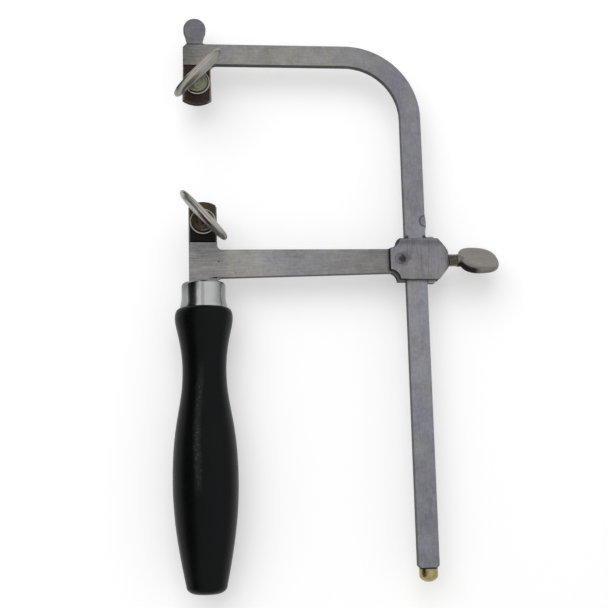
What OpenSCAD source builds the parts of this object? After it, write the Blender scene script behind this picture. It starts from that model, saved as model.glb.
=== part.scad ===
// Fret saw: an adjustable jeweller's saw frame, lying on its back.
// X runs from the blade line to the spine, Y from the handle to the top arm,
// and Z up from the bench. Every piece is drawn about the handle's axis, with
// Y = 0 on the lower arm's top edge and Z = 0 half way through the bar, and
// is then moved so that the origin lies under the middle of the whole saw.

/* [Bow] */
// Width of the bow's bar, seen from the front
bar_w = 8.2; // [7:0.1:10]
// Thickness of the bar
bar_t = 3.6; // [3.2:0.1:4.6]
// Depth of the throat, from the blade line to the spine
throat = 79.3; // [65:0.5:150]
// Height of the top arm over the lower arm, as the saw is set here
arm_gap = 75.2; // [70:0.2:100]
// Inside radius of the bow's corner
corner_r = 21.8; // [10:0.2:30]
// Length of the spine below the lower arm's top edge
spine_drop = 122.7; // [90:0.5:180]
// Chamfer on the spine's two lower corners
spine_chamfer = 1; // [0.4:0.1:2]
// How far the unloaded upper jaw stands out past the blade line
upper_jaw_out = 1.65; // [0:0.05:2.5]

/* [Finger knob] */
// Radius of the knob's flat disc
knob_r = 4.45; // [3.8:0.05:6]
// Height of the disc's centre over the top arm
knob_rise = 6.25; // [5.6:0.05:8]
// Distance of the disc's centre out from the blade line
knob_out = 2.4; // [1.5:0.05:3]
// Width of the neck under the disc
neck_w = 6.4; // [4:0.1:7]
// Height of the neck's straight part
neck_h = 1.7; // [0.8:0.1:2.4]
// Chamfer on the arm's end beside the neck
arm_chamfer = 1.3; // [0.5:0.1:1.5]
// Fillet between the neck and the arm
neck_fillet = 0.8; // [0.4:0.1:1.5]
// Rounding of the disc's rim
knob_edge = 0.5; // [0.2:0.1:1]

/* [Blade jaws] */
// Width of a jaw
jaw_w = 10.9; // [10.6:0.1:14]
// Thickness of a jaw under its clamp plate
jaw_t = 2; // [1.4:0.1:2.4]
// How much wider the upper jaw gets on each side towards its end
upper_jaw_flare = 0.35; // [0:0.05:0.8]
// Drop from the top arm to the upper jaw's shoulder
upper_shoulder = 0.6; // [0.2:0.1:2]
// Rise from the lower arm to the lower jaw's shoulder
lower_shoulder = 3; // [2:0.1:5]
// Distance from a jaw's shoulder to its screw
screw_drop = 7.7; // [6.5:0.1:9]
// Fillet between the top arm and the upper jaw
jaw_fillet = 2.3; // [1:0.1:4]

/* [Clamp plates] */
// Width of a clamp plate
plate_w = 10; // [9:0.1:10.5]
// Length of a clamp plate, shoulder end to crowned end
plate_l = 15.5; // [13.5:0.1:18]
// Thickness of a clamp plate
plate_t = 2.2; // [1.5:0.1:3]
// Radius of the plates' and jaws' crowned ends
crown_r = 10; // [7:0.5:16]
// Gap between a plate and its shoulder
plate_gap = 0.3; // [0.2:0.05:0.6]

/* [Screws and washers] */
// Thread diameter of the three screws
screw_d = 5; // [4:0.1:5.4]
// How far a clamp screw's tip stands out at the back
screw_tip_out = 1; // [0.5:0.1:3]
// Chamfer on the screws' tips
tip_chamfer = 0.5; // [0.2:0.1:0.8]
// Diameter of a rimmed washer
washer_d = 10; // [8.5:0.1:12]
// Thickness of a washer at its rim
washer_t = 1.5; // [1:0.1:2.5]
// Width of the washer's raised rim
washer_rim = 0.6; // [0.3:0.1:1]
// Depth of the washer's dished face below its rim
washer_dish = 0.3; // [0.1:0.05:0.6]
// Width of a clamp screw's wing
wing_w = 25; // [18:0.2:27]
// Height of a clamp screw's wing
wing_h = 13.2; // [10:0.2:18]
// Height of the neck that carries a clamp screw's wing over the washer
wing_lift = 3.4; // [1.6:0.2:5]
// Thickness of a clamp screw's wing, up to half its height
clamp_wing_t = 2.3; // [1.9:0.1:3.5]
// Radius of the neck where it leaves the hub
neck_r = 3; // [2.6:0.1:3.4]
// Width of the side screw's wing
side_wing_w = 17.4; // [14:0.1:27]
// Height of the side screw's wing
side_wing_h = 15.8; // [12:0.1:22]
// How round a wing's corners are: 0.5 makes an oval, and less is squarer
wing_corner_share = 0.385; // [0.3:0.005:0.5]
// Thickness of the side screw's wing at its root
wing_root_t = 3.4; // [2.8:0.1:4.5]
// Thickness of the side screw's wing at half its height
wing_t = 2.7; // [2:0.1:3.5]
// Thickness of a wing at its crest
wing_crest_t = 1.8; // [0.8:0.1:2]
// Radius of the screws' root under the wing
root_r = 2.7; // [2.7:0.1:4]
// Radius of the hub that bears on a clamp screw's washer
hub_r = 4; // [3.2:0.1:4.1]
// Height of the hub over the washer's rim
hub_h = 1; // [0.6:0.1:2]
// Rounding of the hub's top edge
hub_round = 0.5; // [0.2:0.1:0.8]
// Turn of the upper screw's wing from the X axis
upper_wing_turn = 46; // [-90:1:90]
// Turn of the lower screw's wing from the X axis
lower_wing_turn = -47; // [-90:1:90]
// Turn of the side screw's wing from square across the saw
side_wing_turn = 41; // [-90:0.5:90]

/* [Lower arm] */
// Depth of the lower arm beside the block
arm_root_h = 11.1; // [9:0.1:12]
// Depth of the lower arm where it enters the slider
arm_tip_h = 9.35; // [7:0.05:10]
// Drop from the lower arm's top edge to the block's foot
block_drop = 12.9; // [12.2:0.1:18]
// Fillet above the arm, beside the block
arm_top_fillet = 1.8; // [0.5:0.1:2.4]
// Fillet under the arm, beside the block
arm_low_fillet = 1.4; // [0.4:0.1:1.7]
// Length of the tang inside the handle
tang_l = 45; // [25:1:70]
// Width of the tang where it leaves the block
tang_w = 4.4; // [3:0.1:4.6]
// Width of the tang's point
tang_tip_w = 2.2; // [1:0.1:3]
// Thickness of the tang
tang_t = 3; // [2:0.1:3.4]

/* [Slider] */
// Height of the slider's fork along the spine
yoke_h = 16.4; // [14.5:0.1:20]
// Distance of the slider's centre below the lower arm's top edge
yoke_drop = 4.3; // [3.6:0.1:5]
// Thickness of each leaf of the fork
leaf_t = 2.25; // [1.5:0.05:3.5]
// Length of the arm's tongue inside the fork
tongue_l = 6.8; // [6:0.1:10]
// Radius of the scallops at the fork's open corners
scallop_r = 3.8; // [1.5:0.1:4]
// Length of the solid nose that holds the side screw
nose_l = 4.3; // [3.5:0.1:8]
// Height of the nose at its tip
nose_tip_h = 6; // [5.7:0.1:9]
// Rounding of the nose from front to back
nose_round = 2.2; // [0.5:0.1:2.8]
// Diameter of the rivet through the fork and the tongue
rivet_d = 4; // [2.5:0.1:4.5]
// Distance of the rivet from the fork's open edge
rivet_in = 4; // [3.4:0.1:5]
// Width of the pressure shoe across the spine's edge
shoe_w = 3.3; // [2.6:0.1:5]
// Length of the pressure shoe along the spine
shoe_h = 18.5; // [16:0.1:22]
// Chamfer on the shoe's ends
shoe_chamfer = 0.5; // [0.2:0.1:1]
// Room behind the shoe for it to back off
shoe_room = 1; // [0.9:0.1:2]
// Diameter of the side screw's dog point
dog_d = 3; // [2:0.1:3.2]
// Length of the dog point in the shoe
dog_l = 0.8; // [0.5:0.1:1.5]
// Length of side screw between the shoe and the wing
side_reach = 9.9; // [9:0.1:14]

/* [Ferrule] */
// Radius of the ferrule
ferrule_r = 8.45; // [8:0.05:10]
// Radius of the ferrule's flared foot
ferrule_foot_r = 9.1; // [8.6:0.05:10.5]
// Length of the ferrule
ferrule_l = 10; // [8:0.1:16]
// Length of the flared foot
ferrule_foot_l = 4.6; // [2:0.1:6]
// Rounding of the ferrule's top edge
ferrule_round = 1.2; // [0.9:0.1:2]
// Wall of the ferrule
ferrule_wall = 0.8; // [0.5:0.05:0.9]

/* [Handle] */
// Length of the handle below the ferrule
handle_l = 106.6; // [80:0.5:140]
// Radius of the shoulder
shoulder_r = 11.1; // [9.6:0.05:13]
// Distance of the shoulder below the ferrule
shoulder_at = 3.9; // [3:0.1:6]
// Radius of the waist
waist_r = 8.35; // [6.5:0.05:9.5]
// Distance of the waist below the ferrule
waist_at = 24.1; // [18:0.1:30]
// Largest radius of the grip
bulge_r = 12.35; // [11.5:0.05:16]
// Distance of the grip's largest radius below the ferrule
bulge_at = 65.1; // [50:0.1:68]
// Radius of the tail before its rounded end
tail_r = 7.6; // [6.5:0.1:9]
// Length of the rounded end
tail_round_l = 2.9; // [1.5:0.1:5]
// Radius of the flat at the very end
tail_flat_r = 3.2; // [1:0.1:5]

/* [End stop] */
// Radius of the brass stop
stop_r = 3.55; // [2.8:0.05:3.9]
// Length of the stop's cylinder
stop_l = 3.4; // [2:0.1:6]
// Length of the stop's rounded nose
stop_nose_l = 1.6; // [0.8:0.1:3]
// Radius of the nose's tip
stop_tip_r = 0.95; // [0.4:0.05:2]
// Diameter of the stud that screws into the spine
stud_d = 2.5; // [1.6:0.1:2.6]
// Length of the stud
stud_l = 6; // [3:0.1:12]

/* [Fits] */
// Radial clearance of a screw or stud in its hole
fit_gap = 0.05; // [0.02:0.01:0.08]
// Clearance of the spine on each side in the slider
slide_gap = 0.1; // [0.05:0.01:0.2]

/* [Hidden] */
$fn = 96;

// How far cuts run past the faces they open
over = 1;

// Levels through the thickness, from the middle of the bar
bar_front = bar_t / 2;
seat_z = jaw_t - bar_front;
plate_top = seat_z + plate_t;
washer_top = plate_top + washer_t;
slot_t = bar_t + 2 * slide_gap;
yoke_t = slot_t + 2 * leaf_t;

// Places across the saw, from the blade line
jaw_half = jaw_w / 2;
upper_jaw_x = -upper_jaw_out;
arm_end_x = upper_jaw_x - jaw_half;
spine_out_x = throat + bar_w;
spine_mid_x = throat + bar_w / 2;
yoke_x = throat - tongue_l;
shoe_x = spine_out_x + slide_gap;
shoe_out_x = shoe_x + shoe_w;
slot_end_x = shoe_out_x + shoe_room;
nose_x = slot_end_x + nose_l;
side_head_x = shoe_out_x + side_reach;

// Places along the saw, from the lower arm's top edge
upper_shoulder_y = arm_gap - upper_shoulder;
upper_screw_y = upper_shoulder_y - screw_drop;
lower_screw_y = lower_shoulder + screw_drop;
jaw_l = plate_gap + plate_l;
knob_y = arm_gap + bar_w + knob_rise;
handle_top = block_drop + ferrule_l;
handle_end = handle_top + handle_l;

// The saw's outer limits, which put the origin under its middle
mid_x = (side_head_x + side_wing_h - bulge_r) / 2;
mid_y = (knob_y + knob_r - handle_end) / 2;

// Radius of the hole for the tang, and of the spigot that fills the ferrule
tang_hole_r = sqrt(pow(tang_w / 2, 2) + pow(tang_t / 2, 2)) + fit_gap;
spigot_r = ferrule_r - ferrule_wall - fit_gap;

// How far each curve of the handle holds its direction, as shares of its length
mouth_shares = [0.7, 0.6];
shoulder_shares = [0.17, 0.54];
waist_shares = [0.33, 0.55];
tail_shares = [0.36, 0.34];
tail_slope_share = 0.21;
// The same for the ferrule's foot and for a quarter of an ellipse
foot_shares = [0.5, 0.3];
quarter_share = 0.55;
// Radius of a screw's root up into its wing, as shares of the wing's height and the root's radius
root_shares = [[0, 1], [0.04, 1], [0.1, 0.8], [0.2, 0.6], [0.3, 0]];
// Steps along each curve
curve_steps = 10;
// How far the neck runs up into a clamp screw's wing, as a share of the wing's height
neck_share = 0.3;
// Steps round a wing's outline
wing_steps = 64;

steel = [0.55, 0.56, 0.57];
dark_steel = [0.17, 0.15, 0.15];
nickel = [0.62, 0.6, 0.56];
brass = [0.78, 0.66, 0.36];
chrome = [0.78, 0.79, 0.8];
black_wood = [0.06, 0.06, 0.06];

// A point on the cubic curve with ends a and d and pulls b and c
function cubic(a, b, c, d, t) =
    a * pow(1 - t, 3) + 3 * b * pow(1 - t, 2) * t + 3 * c * (1 - t) * pow(t, 2) + d * pow(t, 3);

function curve(a, b, c, d) =
    [for (i = [1:curve_steps]) cubic(a, b, c, d, i / curve_steps)];

// A curve that leaves a and reaches d along the handle's axis
function easing(a, d, shares) =
    curve(a, a + [0, shares[0] * (d.y - a.y)], d - [0, shares[1] * (d.y - a.y)], d);

// A quarter of an ellipse from the point a, running along the axis first, to the point d
function rounding(a, d) =
    curve(a, [a.x, a.y + quarter_share * (d.y - a.y)], [d.x - quarter_share * (d.x - a.x), d.y], d);

module placed() {
    translate([-mid_x, -mid_y, bulge_r]) children();
}

// Concave corner of radius r in the quadrant that faces dir
module inside_fillet(r, dir) {
    polygon(concat([[0, 0]],
        [for (i = [0:curve_steps])
            let (a = 90 * i / curve_steps)
            [dir.x * r * (1 - sin(a)), dir.y * r * (1 - cos(a))]]));
}

// Outline of a jaw or plate that runs up from its shoulder to a crowned end
module crowned_outline(root_w, end_w, l) {
    crown_drop = crown_r - sqrt(pow(crown_r, 2) - pow(end_w / 2, 2));
    intersection() {
        polygon([[-root_w / 2, 0], [root_w / 2, 0], [end_w / 2, l], [-end_w / 2, l]]);
        union() {
            translate([0, l - crown_r]) circle(r = crown_r);
            translate([-end_w, 0]) square([2 * end_w, l - crown_drop]);
        }
    }
}

// Bow
module knob_outline() {
    arm_top = arm_gap + bar_w;
    half = neck_w / 2;
    // The neck widens to meet the disc where it is a little wider than the neck
    meet_r = (half + knob_r) / 2;
    meet_y = knob_y - sqrt(pow(knob_r, 2) - pow(meet_r, 2));
    translate([-knob_out, 0]) polygon([[-half, arm_top - over], [half, arm_top - over],
        [half, arm_top + neck_h], [meet_r, meet_y], [-meet_r, meet_y], [-half, arm_top + neck_h]]);
    translate([half - knob_out, arm_top]) inside_fillet(neck_fillet, [1, 1]);
}

module bow_outline() {
    arm_top = arm_gap + bar_w;
    // Top arm, with its end chamfered
    polygon([[arm_end_x, upper_shoulder_y - over], [arm_end_x, arm_top - arm_chamfer],
        [arm_end_x + arm_chamfer, arm_top], [throat - corner_r, arm_top],
        [throat - corner_r, arm_gap], [upper_jaw_x + jaw_half, arm_gap],
        [upper_jaw_x + jaw_half, upper_shoulder_y - over]]);
    // Corner
    translate([throat - corner_r, arm_gap - corner_r]) intersection() {
        difference() {
            circle(r = corner_r + bar_w);
            circle(r = corner_r);
        }
        square(corner_r + bar_w);
    }
    // Spine, with its lower corners chamfered
    polygon([[throat, arm_gap - corner_r], [throat, spine_chamfer - spine_drop],
        [throat + spine_chamfer, -spine_drop], [spine_out_x - spine_chamfer, -spine_drop],
        [spine_out_x, spine_chamfer - spine_drop], [spine_out_x, arm_gap - corner_r]]);
    // Upper jaw and the fillet beside it
    translate([upper_jaw_x, upper_shoulder_y]) mirror([0, 1])
        crowned_outline(jaw_w, jaw_w + 2 * upper_jaw_flare, jaw_l);
    translate([upper_jaw_x + jaw_half, arm_gap]) inside_fillet(jaw_fillet, [1, -1]);
    knob_outline();
}

module finger_disc() {
    flat_r = knob_r - knob_edge;
    translate([-knob_out, knob_y]) rotate_extrude()
        polygon(concat([[0, -bar_front], [flat_r, -bar_front]],
            [for (i = [0:curve_steps])
                let (a = 180 * i / curve_steps - 90)
                [flat_r + knob_edge * cos(a), (bar_front - knob_edge) * sign(a) + knob_edge * sin(a)]],
            [[flat_r, bar_front], [0, bar_front]]));
}

module bow() {
    color(steel) placed() difference() {
        union() {
            translate([0, 0, -bar_front]) linear_extrude(bar_t) bow_outline();
            finger_disc();
        }
        // Seat of the clamp plate, milled straight across the jaw
        translate([upper_jaw_x - jaw_w, upper_shoulder_y - jaw_l - over, seat_z])
            cube([2 * jaw_w, jaw_l + over, bar_t]);
        translate([upper_jaw_x, upper_screw_y, -bar_t]) cylinder(r = screw_d / 2 + fit_gap, h = 2 * bar_t);
        // Tapped hole for the end stop's stud
        translate([spine_mid_x, -spine_drop - over, 0]) rotate([-90, 0, 0])
            cylinder(r = stud_d / 2 + fit_gap, h = stud_l + over);
    }
}

module end_stop() {
    nose_at = stop_l + stop_nose_l;
    color(brass) placed() translate([spine_mid_x, -spine_drop, 0]) rotate([90, 0, 0]) union() {
        translate([0, 0, -stud_l]) cylinder(r = stud_d / 2, h = stud_l + stop_l / 2);
        rotate_extrude() polygon(concat([[0, 0], [stop_r, 0], [stop_r, stop_l]],
            rounding([stop_r, stop_l], [stop_tip_r, nose_at]), [[0, nose_at]]));
    }
}

// Lower arm
module yoke_outline() {
    half = yoke_h / 2;
    tip = nose_tip_h / 2;
    translate([0, -yoke_drop]) difference() {
        polygon([[yoke_x, -half], [slot_end_x, -half], [nose_x, -tip], [nose_x, tip],
            [slot_end_x, half], [yoke_x, half]]);
        for (side = [-1, 1]) translate([yoke_x, side * half]) circle(r = scallop_r);
    }
}

module lower_arm_outline() {
    // Block over the handle
    translate([-jaw_half, -block_drop]) square([jaw_w, block_drop + lower_shoulder]);
    // Jaw
    translate([0, lower_shoulder]) crowned_outline(jaw_w, jaw_w, jaw_l);
    // Arm, tapered along its lower edge
    polygon([[0, 0], [yoke_x + over, 0], [yoke_x + over, -arm_tip_h], [0, -arm_root_h]]);
    translate([jaw_half, 0]) inside_fillet(arm_top_fillet, [1, 1]);
    translate([jaw_half, -arm_root_h]) inside_fillet(arm_low_fillet, [1, -1]);
    // Tongue between the slider's leaves
    intersection() {
        yoke_outline();
        translate([yoke_x, -yoke_drop - yoke_h / 2]) square([tongue_l - slide_gap, yoke_h]);
    }
}

module tang() {
    half = tang_w / 2;
    tip = tang_tip_w / 2;
    translate([0, -block_drop, -tang_t / 2]) linear_extrude(tang_t)
        polygon([[-half, over], [half, over], [half, 0], [tip, -tang_l + tang_tip_w], [0, -tang_l],
            [-tip, -tang_l + tang_tip_w], [-half, 0]]);
}

module lower_arm() {
    color(steel) placed() difference() {
        union() {
            translate([0, 0, -slot_t / 2]) linear_extrude(slot_t) lower_arm_outline();
            tang();
        }
        // Seat of the clamp plate
        translate([-jaw_w, lower_shoulder, seat_z]) cube([2 * jaw_w, jaw_l + over, bar_t]);
        translate([0, lower_screw_y, -bar_t]) cylinder(r = screw_d / 2 + fit_gap, h = 2 * bar_t);
        rivet_hole();
    }
}

// Slider
module rivet_hole() {
    translate([yoke_x + rivet_in, -yoke_drop, -yoke_t]) cylinder(r = rivet_d / 2 + fit_gap, h = 2 * yoke_t);
}

// The fork seen along the spine: square leaves and a rounded nose
module nose_section() {
    corner_z = yoke_t / 2 - nose_round;
    translate([yoke_x - over, -yoke_t / 2]) square([nose_x - nose_round - yoke_x + over, yoke_t]);
    translate([yoke_x - over, -corner_z]) square([nose_x - yoke_x + over, 2 * corner_z]);
    for (side = [-1, 1]) translate([nose_x - nose_round, side * corner_z]) circle(r = nose_round);
}

module slider_yoke() {
    color(steel) placed() difference() {
        intersection() {
            translate([0, 0, -yoke_t / 2]) linear_extrude(yoke_t) yoke_outline();
            translate([0, yoke_h, 0]) rotate([90, 0, 0]) linear_extrude(3 * yoke_h) nose_section();
        }
        // Slot that the tongue, the spine and the shoe share
        translate([yoke_x - over, -yoke_drop - yoke_h, -slot_t / 2])
            cube([slot_end_x - yoke_x + over, 2 * yoke_h, slot_t]);
        translate([slot_end_x - over, -yoke_drop, 0]) rotate([0, 90, 0])
            cylinder(r = screw_d / 2 + fit_gap, h = nose_l + 2 * over);
        rivet_hole();
    }
}

module arm_rivet() {
    color(dark_steel) placed() translate([yoke_x + rivet_in, -yoke_drop, -yoke_t / 2])
        cylinder(r = rivet_d / 2, h = yoke_t);
}

module pressure_shoe() {
    half = shoe_h / 2;
    color(nickel) placed() difference() {
        translate([shoe_x, -yoke_drop, -bar_front]) linear_extrude(bar_t)
            polygon([[0, -half], [shoe_w - shoe_chamfer, -half], [shoe_w, shoe_chamfer - half],
                [shoe_w, half - shoe_chamfer], [shoe_w - shoe_chamfer, half], [0, half]]);
        translate([shoe_out_x - dog_l - slide_gap, -yoke_drop, 0]) rotate([0, 90, 0])
            cylinder(r = dog_d / 2 + fit_gap, h = dog_l + slide_gap + over);
    }
}

// Screws

// A sine or cosine drawn out, so that an oval's corners are fuller
function squarer(v) = sign(v) * pow(abs(v), 2 * wing_corner_share);

module wing(w, h, root_t, mid_t) {
    root = root_t / 2;
    half = mid_t / 2;
    crest = wing_crest_t / 2;
    intersection() {
        rotate([90, 0, 0]) translate([0, 0, -root_t]) linear_extrude(2 * root_t)
            polygon([for (i = [0:wing_steps - 1])
                let (a = 360 * i / wing_steps) [w / 2 * squarer(cos(a)), h / 2 * (1 + squarer(sin(a)))]]);
        // The wing thins towards its crest
        rotate([90, 0, 90]) translate([0, 0, -w]) linear_extrude(2 * w)
            polygon([[-root, 0], [root, 0], [half, h / 2], [crest, h], [-crest, h], [-half, h / 2]]);
    }
}

// A plain shank that stands for the thread, with its tip chamfered and at z = -l
module shank(l) {
    r = screw_d / 2;
    rotate_extrude() polygon([[0, -l], [r - tip_chamfer, -l], [r, tip_chamfer - l], [r, 0], [0, 0]]);
}

// The hub stands on the washer's dished face
module hub() {
    rotate_extrude() polygon(concat([[0, -washer_dish], [hub_r, -washer_dish]],
        [for (i = [0:curve_steps])
            let (a = 90 * i / curve_steps)
            [hub_r + hub_round * (cos(a) - 1), hub_h + hub_round * (sin(a) - 1)]],
        [[0, hub_h]]));
}

// The neck narrows from the hub up into the wing
module neck() {
    tip = clamp_wing_t / 3;
    top = wing_lift + wing_h * neck_share;
    rotate_extrude() polygon(concat([[0, 0], [neck_r, 0]],
        [for (i = [0:curve_steps])
            let (a = 90 * i / curve_steps)
            [neck_r - (neck_r - tip) * sin(a), hub_h + (top - hub_h) * (1 - cos(a))]],
        [[0, top]]));
}

// The root of the side screw narrows up into its wing
module side_root() {
    rotate_extrude() polygon(concat([[0, 0]], [for (s = root_shares) [s[1] * root_r, s[0] * side_wing_h]]));
}

module clamp_screw(x, y, turn) {
    color(nickel) placed() translate([x, y, washer_top]) union() {
        translate([0, 0, wing_lift]) rotate([0, 0, turn])
            wing(wing_w, wing_h, clamp_wing_t, clamp_wing_t);
        neck();
        hub();
        shank(washer_top + bar_front + screw_tip_out);
    }
}

module washer(x, y) {
    bore_r = screw_d / 2 + fit_gap;
    r = washer_d / 2;
    // The rim is a rounded bead round a slightly dished face
    color(nickel) placed() translate([x, y, plate_top]) rotate_extrude()
        polygon(concat([[bore_r, 0], [r, 0]],
            [for (i = [0:curve_steps])
                let (a = 180 * i / curve_steps)
                [r + washer_rim / 2 * (cos(a) - 1), washer_t - washer_dish + washer_dish * sin(a)]],
            [[bore_r, washer_t - washer_dish]]));
}

module clamp_plate(x, shoulder_y, dir) {
    color(dark_steel) placed() difference() {
        translate([x, shoulder_y + dir * plate_gap, seat_z]) linear_extrude(plate_t)
            mirror([0, dir < 0 ? 1 : 0]) crowned_outline(plate_w, plate_w, plate_l);
        translate([x, shoulder_y + dir * screw_drop, seat_z - plate_t])
            cylinder(r = screw_d / 2 + fit_gap, h = 3 * plate_t);
    }
}

module side_screw() {
    color(nickel) placed() translate([side_head_x, -yoke_drop, 0]) rotate([0, 90, 0]) union() {
        rotate([0, 0, side_wing_turn]) wing(side_wing_w, side_wing_h, wing_root_t, wing_t);
        side_root();
        shank(side_reach);
        translate([0, 0, -side_reach - dog_l]) cylinder(r = dog_d / 2, h = dog_l + tip_chamfer);
    }
}

module upper_clamp_plate() clamp_plate(upper_jaw_x, upper_shoulder_y, -1);
module upper_washer() washer(upper_jaw_x, upper_screw_y);
module upper_screw() clamp_screw(upper_jaw_x, upper_screw_y, upper_wing_turn);
module lower_clamp_plate() clamp_plate(0, lower_shoulder, 1);
module lower_washer() washer(0, lower_screw_y);
module lower_screw() clamp_screw(0, lower_screw_y, lower_wing_turn);

// Handle and ferrule
function ferrule_side(inset) =
    let (start = [ferrule_r - inset, handle_top - ferrule_foot_l])
    concat([start], easing(start, [ferrule_foot_r - inset, handle_top], foot_shares));

module ferrule() {
    top = block_drop;
    inner = ferrule_side(ferrule_wall);
    color(chrome) placed() rotate([90, 0, 0]) rotate_extrude() polygon(concat(
        [[tang_hole_r, top], [ferrule_r - ferrule_round, top]],
        [for (i = [1:curve_steps])
            let (a = 90 * i / curve_steps)
            [ferrule_r + ferrule_round * (sin(a) - 1), top + ferrule_round * (1 - cos(a))]],
        ferrule_side(0),
        [for (i = [len(inner) - 1:-1:0]) inner[i]],
        [[ferrule_r - ferrule_wall, top + ferrule_wall], [tang_hole_r, top + ferrule_wall]]));
}

module handle() {
    shoulder = [shoulder_r, handle_top + shoulder_at];
    waist = [waist_r, handle_top + waist_at];
    bulge = [bulge_r, handle_top + bulge_at];
    tail = [tail_r, handle_end - tail_round_l];
    tail_run = tail.y - bulge.y;
    start = [ferrule_foot_r, handle_top];
    tail_pull = tail_shares[1] * tail_run;
    color(black_wood) placed() rotate([90, 0, 0]) difference() {
        rotate_extrude() polygon(concat(
            [[0, block_drop + ferrule_wall + fit_gap], [spigot_r, block_drop + ferrule_wall + fit_gap],
                [spigot_r, handle_top], start],
            curve(start, [start.x + mouth_shares[0] * (shoulder.x - start.x), start.y],
                [shoulder.x, shoulder.y - mouth_shares[1] * shoulder_at], shoulder),
            easing(shoulder, waist, shoulder_shares),
            easing(waist, bulge, waist_shares),
            curve(bulge, bulge + [0, tail_shares[0] * tail_run],
                tail + [tail_slope_share * tail_pull, -tail_pull], tail),
            rounding(tail, [tail_flat_r, handle_end]),
            [[0, handle_end]]));
        cylinder(r = tang_hole_r, h = block_drop + tang_l + over);
    }
}

bow();
end_stop();
lower_arm();
slider_yoke();
arm_rivet();
pressure_shoe();
side_screw();
upper_clamp_plate();
upper_washer();
upper_screw();
lower_clamp_plate();
lower_washer();
lower_screw();
ferrule();
handle();
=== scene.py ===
"""A jeweller's adjustable saw frame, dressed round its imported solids.

The saw lies on its back. Sizes below are in the saw's own terms: millimetres right of
the handle's axis, above the lower arm's top edge and in front of the bar's middle.
"""

import math

import bmesh
import bpy
from mathutils import Color, Matrix, Vector


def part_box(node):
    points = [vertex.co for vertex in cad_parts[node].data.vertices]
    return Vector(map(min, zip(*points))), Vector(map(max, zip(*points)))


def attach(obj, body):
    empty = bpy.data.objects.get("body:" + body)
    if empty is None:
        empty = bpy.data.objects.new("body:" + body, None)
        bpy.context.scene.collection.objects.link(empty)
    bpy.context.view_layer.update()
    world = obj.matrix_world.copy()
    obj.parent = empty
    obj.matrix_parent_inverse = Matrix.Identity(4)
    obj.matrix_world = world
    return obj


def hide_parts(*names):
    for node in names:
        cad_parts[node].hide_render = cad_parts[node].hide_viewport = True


bl_info = {
    "name": "Fret Saw",
    "version": (1, 0, 0),
    "blender": (4, 5, 0),
    "location": "View3D > Sidebar > Fret Saw",
    "description": "Models and finishes each piece of an adjustable saw frame",
    "category": "Add Mesh",
}

MM = 0.001

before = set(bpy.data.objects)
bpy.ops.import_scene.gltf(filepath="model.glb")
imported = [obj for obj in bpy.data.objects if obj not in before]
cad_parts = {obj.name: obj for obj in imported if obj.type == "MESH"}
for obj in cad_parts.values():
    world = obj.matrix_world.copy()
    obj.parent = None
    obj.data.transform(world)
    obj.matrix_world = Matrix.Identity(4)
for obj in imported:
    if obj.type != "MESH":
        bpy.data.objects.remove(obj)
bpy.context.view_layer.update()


def middle(node):
    """Middle of a solid's box."""
    low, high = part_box(node)
    return (low + high) / 2


# Down the handle's axis: the ferrule's top, the spigot's top, the ferrule's end and the handle's end
BLOCK_DROP = 12.9
SPIGOT_DROP = 13.8
FERRULE_DROP = 22.9
HANDLE_DROP = 129.5

ORIGIN = Vector((middle("handle").x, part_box("ferrule")[1].y + BLOCK_DROP * MM, middle("handle").z))

# Levels in front of the bar's middle
BAR_FRONT = 1.8
PLATE_TOP = 2.4
WASHER_TOP = 3.9
YOKE_FRONT = 4.15

# Places of the screws, the rivet, the arm's tongue and the stop
UPPER_SCREW = (-1.65, 66.9)
LOWER_SCREW = (0.0, 10.7)
YOKE_Y = -4.3
SIDE_HEAD_X = 100.8
RIVET_X = 76.5
TONGUE_X = 72.4
SPINE_MID_X = 83.4
SPINE_END_Y = -122.7

# Where the spine's edges enter the slider
SLIDER_CORNERS = ((79.9, 4.6, BAR_FRONT), (87.0, 4.8, BAR_FRONT))

# The finger knob, the struck half-round mark and the swelling that the blow pushed out
KNOB = (-2.4, 89.65)
KNOB_FOOT_Y = 83.35
STAKE = (87.6, 11.3, BAR_FRONT)
STAKE_DEPTH = 0.4
SWELLING = (87.5, 10.6, 0.2)
SWELLING_RADII = (0.62, 3.5, 1.4)

# How far round them the edges are left unrounded
KNOB_SPARED = 4.9
STAKE_SPARED = 2.7
SWELLING_SPARED = 3.7
SWELLING_SPARED_X = 86
RIVET_SPARED = 2.6

# Radii of the screws' shanks, the tang's hole and the handle's spigot, and a loose fit
SHANK_R = 2.5
TANG_HOLE_R = 2.75
SPIGOT_R = 7.6
LOOSE_FIT = 0.05

# Threads: rings to a pitch, the shares of the crest and the flanks, the run-out and the tip's chamfer
THREAD_RINGS = 9
THREAD_CREST_SHARE = 0.12
THREAD_FLANK_SHARE = 0.74
THREAD_RUN_OUT = 0.6
TIP_CHAMFER = 0.5

# A clamp screw's hub, which takes a colour of its own: tarnish with a painted reflection
HUB_R = 4.4
HUB_TOP = 5.4

# Edges shorter or flatter than this are never rounded, and points nearer than this are one
SHORTEST_EDGE = 0.06
SHARP_ANGLE = math.radians(38)
WELD = 1e-6

# Where the camera looks, and its turns in degrees, from its last to its first
LOOK_AT = (38.75, -21.29)
CAMERA_TURNS = ((-0.4642, "Z"), (9.3751, "X"), (-6.2884, "Y"))
SENSOR = 36

# What the key light is aimed at, from where and from how far off, in metres
KEY_TARGET = Vector((0, 0, 0.012))
KEY_FROM = Vector((-0.35, 0.55, 1.0))
KEY_DISTANCE = 1.1

CENTRE = Vector((0, 0, 0))
HEAD_UP = Vector((0, 0, 1))
TO_TAIL = Vector((0, -1, 0))


def place(x, y, z=0.0):
    """A place on the saw, given in millimetres, as a point in the shared frame."""
    return ORIGIN + Vector((x, y, z)) * MM


# Settings


def number(name, description, default, **limits):
    """A number that a user may change."""
    return bpy.props.FloatProperty(name=name, description=description, default=default, **limits)


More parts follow.
